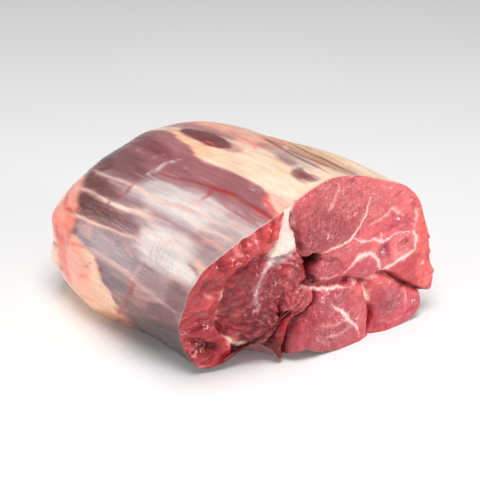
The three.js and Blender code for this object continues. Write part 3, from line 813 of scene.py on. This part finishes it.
def skin_points(angle, share, front_y, back_y):
    """The skin at a share of the way from the front rim to the back one, whose y at each angle are given."""
    x, z = in_section(0, angle, 1.0)
    for number in range(1, len(SECTIONS)):
        start, end = SECTIONS[number - 1][0], SECTIONS[number][0]
        if share > start:
            way = min((share - start) / (end - start), 1.0)
            last = number == len(SECTIONS) - 1
            eased = 1 - math.sqrt(1 - way * way) if last else float(smooth(way))
            (x0, z0), (x1, z1) = in_section(number - 1, angle, 1.0), in_section(number, angle, 1.0)
            x, z = x0 + (x1 - x0) * eased, z0 + (z1 - z0) * eased
    return np.stack([x, front_y + (back_y - front_y) * share, z], 1)


def square_grid(across, up):
    """Angles and shares of a grid that fills a section, the order of the places on its rim, and its faces."""
    s, t = np.meshgrid(np.linspace(-1, 1, across + 1), np.linspace(-1, 1, up + 1), indexing="ij")
    number = np.arange(s.size).reshape(s.shape)
    rim = np.concatenate([number[:-1, 0], number[-1, :-1], number[:0:-1, -1], number[0, :0:-1]])
    quads = np.stack([number[:-1, :-1], number[1:, :-1], number[1:, 1:], number[:-1, 1:]], -1).reshape(-1, 4)
    share = np.maximum(abs(s), abs(t)).ravel()
    return np.arctan2(t, s).ravel() % math.tau, share, rim, quads


def ring_quads(ring, following):
    """Faces between two rings with the same number of places."""
    return np.stack([ring, following, np.roll(following, -1), np.roll(ring, -1)], 1)


def halving_faces(fine, coarse):
    """Triangles between a ring and one with half its places."""
    a, b, c = fine[0::2], fine[1::2], np.roll(fine, -2)[0::2]
    d, e = coarse, np.roll(coarse, -1)
    return np.concatenate([np.stack(t, 1) for t in ((a, d, b), (b, d, e), (b, e, c))])


def skin_rows():
    """The rows along the skin, as shares of its length. The end is round, so they crowd there too."""
    fine = CELLS["fine_share"]
    rows = fine * (np.arange(1, CELLS["fine_rows"] + 1) / CELLS["fine_rows"]) ** ROW_CROWDING
    rest = np.arange(1, CELLS["coarse_rows"]) / CELLS["coarse_rows"]
    return np.concatenate([rows, fine + (1 - fine) * np.sin(rest * math.pi / 2)])


CUT, SKIN = 0, 1


def shank_net():
    """Places, faces, the side each place is on, and its two coordinates there: x and z of the front cut on
    the cuts, percent and degrees on the skin."""
    across, up = CELLS["across"], CELLS["up"]
    angle, share, rim, quads = square_grid(across, up)
    front = front_points(angle, share)
    rim_angle, rim_y = angle[rim], front[rim, 1]
    back_angle, back_share, back_rim, back_quads = square_grid(across // 2, up // 2)
    back = back_points(back_angle, back_share)
    back_y = back_points(rim_angle, np.ones(len(rim)))[:, 1]

    places, sides, coordinates, faces = [front], [CUT], [in_section(0, angle, share)], [quads]
    ring, count = rim, len(front)
    for row in skin_rows():
        step = 2 if row > CELLS["fine_share"] + 1e-9 else 1
        here = rim_angle[::step]
        places.append(skin_points(here, row, rim_y[::step], back_y[::step]))
        sides.append(SKIN)
        coordinates.append((np.full(len(here), 100 * row), (np.degrees(here) + 90) % 360 - 90))
        following = count + np.arange(len(here))
        joining = ring_quads if len(ring) == len(here) else halving_faces
        faces.append(joining(ring, following))
        ring, count = following, count + len(here)
    faces.append(ring_quads(ring, count + back_rim))
    faces.append(count + back_quads[:, ::-1])
    places.append(back)
    sides.append(CUT)
    coordinates.append(in_section(0, back_angle, back_share))
    place = np.concatenate(places)
    place[:, 2] = np.maximum(place[:, 2], 0)
    side = np.concatenate([np.full(len(block), kind) for block, kind in zip(places, sides)])
    first, second = (np.concatenate([pair[k] for pair in coordinates]) for k in (0, 1))
    return place, faces, side, first, second


# ---------------------------------------------------------------- fibres of the cut


def muscle_shares(distances, border):
    """How much each muscle counts at each place, where the borders run together over some millimetres."""
    weights = {name: np.exp(-np.clip(far, -6, 12) / border) for name, far in distances.items()}
    total = sum(weights.values())
    return {name: weight / total for name, weight in weights.items()}


def slanted(x, y, z, slant):
    """Coordinates that are turned in the plane of the cut."""
    along, across = SLANTS[slant]
    return np.stack([along * x + across * z, y, along * z - across * x], 1)


def bundles(x, z, place):
    """The bundles of fibres in a cut: their height in millimetres, where the cracks between them and their
    crests are, which carry painted shade and painted highlight, and how crumbled the cut is."""
    u, v = wander(x, z)
    shares = muscle_shares(muscle_distances(u, v), 1.0)
    lumps, depth = (
        sum(MUSCLES[name][key] * share for name, share in shares.items()) for key in ("lumps", "folds")
    )
    crumbled = np.max([much * blob(centre, half, u, v) for centre, half, much in CRUMBLED], 0)
    bent = place + BENDS["by"] * np.stack([noise(place, BENDS["size"], seed) for seed in BENDS["seeds"]], 1)
    waves = layered_noise(place, WAVES["size"], WAVES["seed"], 2)
    folds = abs(layered_noise(slanted(*bent.T, "bundles"), FOLDS["size"], FOLDS["seed"], 2))
    grain = abs(noise(place, GRAIN["size"], GRAIN["seed"]))
    height = lumps * waves + FOLDS["height"] * depth * (folds - FOLDS["level"])
    height += GRAIN["height"] * crumbled * (grain - GRAIN["level"])
    folded, grained = np.clip(depth, 0, 1), GRAIN["cover"] * crumbled
    crack_shade = folded * smooth(1 - folds / FOLDS["crack"]) + grained * smooth(1 - grain / GRAIN["crack"])
    crest_highlight = folded * smooth((folds - 0.22) / 0.3) + grained * smooth(4 * grain - 1)
    return height, np.clip(crack_shade, 0, 1), np.clip(crest_highlight, 0, 1), crumbled


# ---------------------------------------------------------------- paint


def tissue(name):
    return np.array(TISSUES[name], float)


def lay(paint, name, cover):
    paint += (tissue(name) - paint) * np.asarray(cover)[:, None]


def shade(paint, shades, place, cover):
    """Makes the paint lighter and darker in places."""
    waves = sum(much * layered_noise(place, size, seed) for much, size, seed in shades)
    paint *= (1 + waves * cover)[:, None]


def mottle(paint, patches, place, cover):
    """Lays patches of other tissues in random places."""
    for name, much, size, seed, layers, stretch, shift in patches:
        lay(paint, name, much * cover * smooth(stretch * layered_noise(place, size, seed, layers) + shift))


def streak(points, width, u, v, uneven):
    """Cover of a line that thins out at its ends, with a faint veil beside it."""
    far, along, length = distance_to_curve(points, u, v)
    taper = THIN_END + (1 - THIN_END) * smooth(np.minimum(along, length - along) / (0.25 * length))
    wide = width * taper * np.clip(uneven, 0.3, 2)
    return np.exp(-((far / wide) ** 2)) * (0.5 + 0.5 * taper) + 0.2 * smooth(1 - far / (3 * wide))


# Painted shade: deep wine laid along the clefts between the muscles.
def paint_cleft_shade(paint, u, v):
    for points, width, depth in CLEFTS:
        far = distance_to_curve(points, u, v)[0]
        lay(paint, "deep wine", min(1, 0.18 * depth) * smooth(1.3 - far / width))


def paint_seams(paint, u, v, place):
    """Lays the seams of a cut, with ragged edges, and returns how pale they make it."""
    uneven = 0.85 + 0.45 * layered_noise(place, 4, 70) + 0.3 * noise(place, 1.5, 73)
    near_u, near_v = (at + 0.45 * noise(place, 1.8, seed) for at, seed in ((u, 77), (v, 78)))
    pale = np.zeros(u.shape)
    for points, width, name, cover in SEAMS:
        here = np.clip(cover * streak(points, width, near_u, near_v, uneven), 0, 1)
        lay(paint, name, here)
        pale = np.maximum(pale, here)
    return pale


def glints(x, z, place):
    """Where the painted wet highlights go: slim, and in groups."""
    slim = slanted(x, place[:, 1], z, "glints") * (1, 1, GLINT["slimness"])
    group = smooth(3 * noise(place, GLINT["group_size"], GLINT["group_seed"]) + 0.25)
    return GLINT["cover"] * smooth(5 * noise(slim, GLINT["size"], GLINT["seed"]) - 1.4) * group


def paint_cut(x, z, place):
    """Colours of a cut face at (x, z), with painted shade in its cracks, clefts, gaps, pits and undercut and
    painted highlights on its crests and wet patches; how crumbled its flesh is, and how wet.
    """
    u, v = wander(x, z)
    distances = muscle_distances(u, v)
    shares = muscle_shares(distances, 0.5)
    _, crack_shade, crest_highlight, crumbled = bundles(x, z, place)
    paint = sum(tissue(MUSCLES[name]["tissue"]) * share[:, None] for name, share in shares.items())
    flesh = 1 - shares["fat"]
    shade(paint, CUT_SHADES, place, flesh)
    mottle(paint, CUT_PATCHES, place, flesh)
    for outline, soft, name, cover in CUT_AREAS:
        lay(paint, name, cover * smooth(0.5 - signed_distance(outline, u, v) / soft))
    for centre, half, name, cover in CUT_SPOTS:
        lay(paint, name, cover * blob(centre, half, u, v))
    mottle(paint, CUT_FIBRES, slanted(x, 0 * x, z, "fibres"), flesh)
    # Painted shade in the cracks and painted highlight on the crests of the bundles.
    for (name, cover), where in ((CRACK_SHADE, crack_shade), (CREST_HIGHLIGHT, crest_highlight)):
        lay(paint, name, cover * where * flesh)
    paint_cleft_shade(paint, u, v)
    pale = paint_seams(paint, u, v, place)
    # Painted shade: deep wine in the sunk gaps outside every muscle.
    lay(paint, "deep wine", 0.6 * smooth(np.min(list(distances.values()), 0) / 1.6 + 0.1))
    # Painted shadow: black on the walls of the deep gap that the bone left.
    lay(paint, "shadow black", 0.97 * smooth(2.3 * nearness(BONE_GAP["shadow_at"], BONE_GAP["reach"], u, v) - 0.4))
    wet = np.max([blob(centre, half, u, v) for centre, half in WET], 0)
    # Painted highlights: wet glints laid in the pale seam colour.
    lay(paint, "pale seam", flesh * wet * glints(x, z, place))
    return paint, flesh * crumbled * (1 - pale), wet


def on_skin(percent, degrees):
    """Places on the skin in millimetres."""
    return np.stack([percent, degrees], 1) * SKIN_SCALE


def skin_ground(degrees):
    stops, names = zip(*SKIN_GROUND)
    colours = np.array([TISSUES[name] for name in names], float)
    return np.stack([np.interp(degrees, stops, colours[:, k]) for k in range(3)], 1)


def paint_rim(paint, percent, degrees):
    """The rim at the front cut: a pink edge over the top, and a thin pale one round the rest."""
    top = between(degrees, *RIM_TOP)
    lay(paint, "pink fat", 0.7 * smooth(1.6 - percent / 0.9) * top)
    lay(paint, "pale pink", 0.4 * smooth(1.5 - percent / 0.5) * (1 - top))


def paint_skin(percent, degrees, place):
    """Colours of the skin, how fleshy it is, and how wet."""
    shift = np.stack([much * layered_noise(place, size, seed) for much, size, seed in SKIN_WANDER], 1)
    u, v = (on_skin(percent, degrees) + shift).T
    ragged = layered_noise(place, *SKIN_RAGGED)
    paint = skin_ground(v / SKIN_SCALE[1])
    flesh = np.zeros(len(paint))
    for outline, soft, rag, name, cover in SKIN_AREAS:
        distance = signed_distance(np.array(outline) * SKIN_SCALE, u, v) + rag * ragged
        here = cover * smooth(0.5 - distance / soft)
        lay(paint, name, here)
        flesh += ((name in FLESHY) - flesh) * here
    shade(paint, SKIN_SHADES, place, 1)
    mottle(paint, SKIN_FILMS, place, 1)
    mottle(paint, SKIN_FAT, place, 1 - flesh)
    uneven = 1 + 0.4 * layered_noise(place, (5, 16, 5), 140) + 0.25 * noise(place, 1.8, 143)
    for points, width, name, cover, _ in SKIN_LINES:
        here = streak(np.array(points) * SKIN_SCALE, 0.75 * width, u, v, uneven)
        lay(paint, name, np.clip(cover * here, 0, 1))
    paint_rim(paint, percent, degrees)
    front = smooth((WET_FLANK["to"] - percent) / WET_FLANK["soft"])
    wet = 0.3 + 0.7 * front * between(degrees, *WET_FLANK["round"])
    return paint, flesh, wet


def paint_all(side, first, second, place):
    paint, flesh, wet = np.zeros((len(side), 3)), np.zeros(len(side)), np.zeros(len(side))
    for kind, painter in ((SKIN, paint_skin), (CUT, paint_cut)):
        here = side == kind
        paint[here], flesh[here], wet[here] = painter(first[here], second[here], place[here])
    return np.clip(paint, 0, 255) / 255, flesh, wet


# ---------------------------------------------------------------- fine relief


def normals_of(place, faces):
    """Normals at the places, from the faces round them."""
    normal = np.zeros_like(place)
    for block in faces:
        a, b, c = (place[block[:, k]] for k in (0, 1, 2))
        facing = np.cross(c - a, place[block[:, 3]] - b) if block.shape[1] == 4 else np.cross(b - a, c - a)
        for corner in range(block.shape[1]):
            for axis in range(3):
                normal[:, axis] += np.bincount(block[:, corner], facing[:, axis], len(place))
    return normal / (np.linalg.norm(normal, axis=1, keepdims=True) + 1e-12)


def skin_relief(percent, degrees, place):
    u, v = on_skin(percent, degrees).T
    height = sum(much * layered_noise(place, size, seed, 2) for much, size, seed in SKIN_WAVES)
    for points, width, _, _, rise in SKIN_LINES:
        far = distance_to_curve(np.array(points) * SKIN_SCALE, u, v)[0]
        height += rise * np.exp(-((far / (0.6 * width)) ** 2))
    for centre, half, rise in BULGES:
        height += rise * smooth(nearness(centre * SKIN_SCALE, half, u, v))
    return height * smooth(percent / 3)


def cut_relief(x, z, place):
    return bundles(x, z, place)[0]


def fine_relief(side, first, second, place):
    """Height in millimetres to add along the normal. It fades out at the floor."""
    height = np.zeros(len(side))
    for kind, maker in ((SKIN, skin_relief), (CUT, cut_relief)):
        here = side == kind
        height[here] = maker(first[here], second[here], place[here])
    return height * smooth(place[:, 2] / 4)


# ---------------------------------------------------------------- the piece


def linear(paint):
    """Colours without the curve of a screen, for the shader."""
    return np.where(paint <= 0.04045, paint / 12.92, ((paint + 0.055) / 1.055) ** 2.4)


def add_object(name, data):
    made = bpy.data.objects.new(name, data)
    bpy.context.scene.collection.objects.link(made)
    return made


def add_values(mesh, name, values):
    layer = mesh.attributes.new(name, "FLOAT", "POINT")
    layer.data.foreach_set("value", values.astype(np.float32))


def mesh_of(place, faces):
    mesh = bpy.data.meshes.new("shank_skin")
    corners = np.concatenate([block.ravel() for block in faces])
    sizes = np.concatenate([np.full(len(block), block.shape[1]) for block in faces])
    mesh.vertices.add(len(place))
    mesh.vertices.foreach_set("co", ((place - MIDDLE) * MM).astype(np.float32).ravel())
    mesh.loops.add(len(corners))
    mesh.loops.foreach_set("vertex_index", corners.astype(np.int32))
    mesh.polygons.add(len(sizes))
    mesh.polygons.foreach_set("loop_start", (np.cumsum(sizes) - sizes).astype(np.int32))
    mesh.polygons.foreach_set("loop_total", sizes.astype(np.int32))
    mesh.update(calc_edges=True)
    mesh.validate()
    mesh.polygons.foreach_set("use_smooth", np.ones(len(sizes), bool))
    return mesh


def make_mesh():
    place, faces, side, first, second = shank_net()
    paint, flesh, wet = paint_all(side, first, second, place)
    place = place + normals_of(place, faces) * fine_relief(side, first, second, place)[:, None]
    place[:, 2] = np.maximum(place[:, 2], 0)
    mesh = mesh_of(place, faces)
    colour = mesh.color_attributes.new("paint", "FLOAT_COLOR", "POINT")
    opaque = np.column_stack([linear(paint), np.ones(len(paint))])
    colour.data.foreach_set("color", opaque.astype(np.float32).ravel())
    near = nearness(WRINKLES[0] * SKIN_SCALE, WRINKLES[1], *on_skin(first, second).T)
    for name, values in {
        "cut": side == CUT,
        "flesh": flesh,
        "wet": wet,
        "wrinkled": (side == SKIN) * smooth(near),
    }.items():
        add_values(mesh, name, values)
    mesh.update()
    return mesh


class Nodes:
    """Short ways to add the nodes of one material and link them."""

    def __init__(self, material):
        material.use_nodes = True
        self.tree = material.node_tree
        self.tree.nodes.clear()

    def add(self, kind, settings=(), **inputs):
        made = self.tree.nodes.new("ShaderNode" + kind)
        for name, value in dict(settings).items():
            setattr(made, name, value)
        for name, value in inputs.items():
            self.put(made, name.replace("_", " "), value)
        return made

    def put(self, made, name, value):
        """Sets a socket, given by name or as i and its number, to another node's output or a plain value."""
        socket = made.inputs[int(name[1:])] if name[0] == "i" and name[1:].isdigit() else made.inputs[name]
        if isinstance(value, bpy.types.NodeSocket):
            self.tree.links.new(value, socket)
        else:
            socket.default_value = value

    def attribute(self, name, output="Fac"):
        return self.add("Attribute", {"attribute_name": name}).outputs[output]

    def noise(self, where, name, detail=3.0, rough=0.6, warp=0.0):
        sizes = {"Scale": FINE[name], "Detail": detail, "Roughness": rough, "Distortion": warp}
        return self.add("TexNoise", Vector=where, **sizes).outputs["Fac"]

    def sum(self, *parts):
        total = parts[0]
        for part in parts[1:]:
            total = self.add("Math", {"operation": "ADD"}, i0=total, i1=part).outputs[0]
        return total

    def times(self, a, b):
        return self.add("Math", {"operation": "MULTIPLY"}, i0=a, i1=b).outputs[0]

    def ramp(self, value, low, high, to_low, to_high):
        made = self.add("MapRange", Value=value, From_Min=low, From_Max=high, To_Min=to_low, To_Max=to_high)
        return made.outputs["Result"]

    def stretched(self, where, scale):
        return self.add("Mapping", Vector=where, Scale=scale).outputs["Vector"]

    def scaled(self, vector, scale):
        return self.add("VectorMath", {"operation": "SCALE"}, i0=vector, Scale=scale).outputs[0]


def bundle_films(make, where):
    """The films between the bundles of fibres in a cut: 1 on a film, 0 inside a bundle."""
    bends = make.add("TexNoise", Vector=where, Scale=FINE["bends"], Detail=3.0)
    shift = make.scaled(bends.outputs["Color"], BUNDLE_BEND)
    warped = make.add("VectorMath", {"operation": "ADD"}, i0=where, i1=shift).outputs[0]
    edges = make.add("TexVoronoi", {"feature": "DISTANCE_TO_EDGE"}, Vector=warped, Scale=FINE["bundles"])
    return make.ramp(edges.outputs["Distance"], 0.0, 0.25, 1.0, 0.0)


def meat_colour(make, sides, textures):
    """The paint of the mesh, with lighter and darker fibres on the skin, and with films, dots and painted
    shade along the films in a cut.
    """
    cut, flesh, _ = sides
    fibres, films, dots, patches = textures
    # Painted shade: a cut is darker along the films between its bundles, which the bump sinks.
    darkest = make.times(flesh, make.ramp(patches, 0.3, 0.7, -0.34, -0.1))
    crack_shade = make.times(make.ramp(films, 0.2, 0.9, 0.0, 1.0), darkest)
    cut_shade = make.sum(make.ramp(dots, 0.3, 0.7, 0.97, 1.04), crack_shade)
    skin_shade = make.ramp(fibres, 0.3, 0.7, 0.9, 1.1)
    shade = make.add("Mix", {"data_type": "FLOAT"}, Factor=cut, A=skin_shade, B=cut_shade).outputs["Result"]
    tint = make.scaled(make.attribute("paint", "Color"), shade)
    film_share = make.ramp(patches, 0.4, 0.65, 0.0, 0.1)
    cover = make.times(make.times(films, make.times(cut, flesh)), film_share)
    return make.add("Mix", {"data_type": "RGBA"}, i0=cover, i6=tint, i7=FILM_COLOUR).outputs[2]


def meat_bump(make, where, sides, textures):
    """Fine relief: bundles, dots and ripples in a cut, fibres, swells and a few wrinkles on the skin."""
    cut, flesh, wet = sides
    fibres, films, dots, patches = textures
    wrinkles = make.noise(make.stretched(where, CROSSWISE), "wrinkles", 2.0, 0.5, 0.4)
    cut_height = make.sum(
        make.times(films, make.ramp(flesh, 0, 1, 0, -0.5)),
        make.times(dots, 0.1),
        make.times(patches, 1.5),
        make.noise(where, "ripples", 2.0, 0.5),
        make.times(make.noise(where, "wet ripples", 2.0, 0.5), make.times(wet, 2.6)),
    )
    skin_height = make.sum(
        make.times(fibres, 0.5),
        make.times(wrinkles, make.times(make.attribute("wrinkled"), 4.0)),
        make.times(make.noise(where, "swells"), 0.5),
    )
    height = make.sum(make.times(cut, cut_height), make.times(make.ramp(cut, 0, 1, 1, 0), skin_height))
    return make.add("Bump", Height=height, **BUMP).outputs["Normal"]


def meat_material():
    material = bpy.data.materials.new("raw_meat")
    make = Nodes(material)
    where = make.add("TexCoord").outputs["Object"]
    cut, flesh, wet = sides = [make.attribute(name) for name in ("cut", "flesh", "wet")]
    patches = make.noise(where, "patches")
    textures = [
        make.noise(make.stretched(where, LENGTHWISE), "fibres", 4.0, 0.65, 0.3),
        bundle_films(make, where),
        make.noise(where, "dots", 4.0, 0.7),
        patches,
    ]
    bump = meat_bump(make, where, sides, textures)
    rough = make.sum(make.ramp(cut, 0, 1, 0.32, 0.3), make.ramp(patches, 0.3, 0.7, -0.06, 0.08),
                     make.times(wet, -0.08))
    shader = make.add("BsdfPrincipled", Base_Color=meat_colour(make, sides, textures), Roughness=rough)
    for name in ("Normal", "Coat Normal"):
        make.put(shader, name, bump)
    for name, value in SHADER.items():
        shader.inputs[name].default_value = value
    make.add("OutputMaterial", Surface=shader.outputs[0])
    return material


def make_shank():
    shank = add_object("shank_dressed", make_mesh())
    shank.data.materials.append(meat_material())
    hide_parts("shank")
    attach(shank, "root")


# ---------------------------------------------------------------- stage, camera and light


def put_at(thing, place, aim):
    """Puts a camera or a light at its place, turned to its aim."""
    thing.location = place
    thing.rotation_euler = (Vector(place) - Vector(aim)).to_track_quat("Z", "Y").to_euler()


def make_camera():
    azimuth, elevation = math.radians(VIEW["azimuth"]), math.radians(VIEW["elevation"])
    level = math.cos(elevation)
    back = np.array((math.sin(azimuth) * level, -math.cos(azimuth) * level, math.sin(elevation)))
    data = bpy.data.cameras.new("camera")
    data.lens = VIEW["lens"]
    camera = add_object("camera", data)
    target = VIEW["target"] - MIDDLE
    put_at(camera, (target + back * VIEW["distance"]) * MM, target * MM)
    bpy.context.scene.camera = camera


def make_floor():
    mesh = bpy.data.meshes.new("floor")
    corners = [(FLOOR_HALF * x, FLOOR_HALF * y, 0) for x, y in ((-1, -1), (1, -1), (1, 1), (-1, 1))]
    mesh.from_pydata(corners, [], [(0, 1, 2, 3)])
    floor = add_object("floor", mesh)
    material = bpy.data.materials.new("pale_floor")
    material.use_nodes = True
    for name, value in FLOOR_LOOK.items():
        material.node_tree.nodes["Principled BSDF"].inputs[name].default_value = value
    mesh.materials.append(material)


def make_lights():
    world = bpy.data.worlds.new("studio")
    bpy.context.scene.world = world
    world.use_nodes = True
    sky = world.node_tree.nodes["Background"]
    sky.inputs["Color"].default_value = (1, 1, 1, 1)
    sky.inputs["Strength"].default_value = WORLD_STRENGTH
    for name, (place, aim, size, power) in LIGHTS.items():
        data = bpy.data.lights.new(name, "AREA")
        data.shape = "RECTANGLE"
        data.size, data.size_y = size
        data.energy = power
        put_at(add_object(name, data), place, aim)


bpy.context.scene.view_settings.view_transform = "Standard"
make_camera()
make_floor()
make_lights()
make_shank()
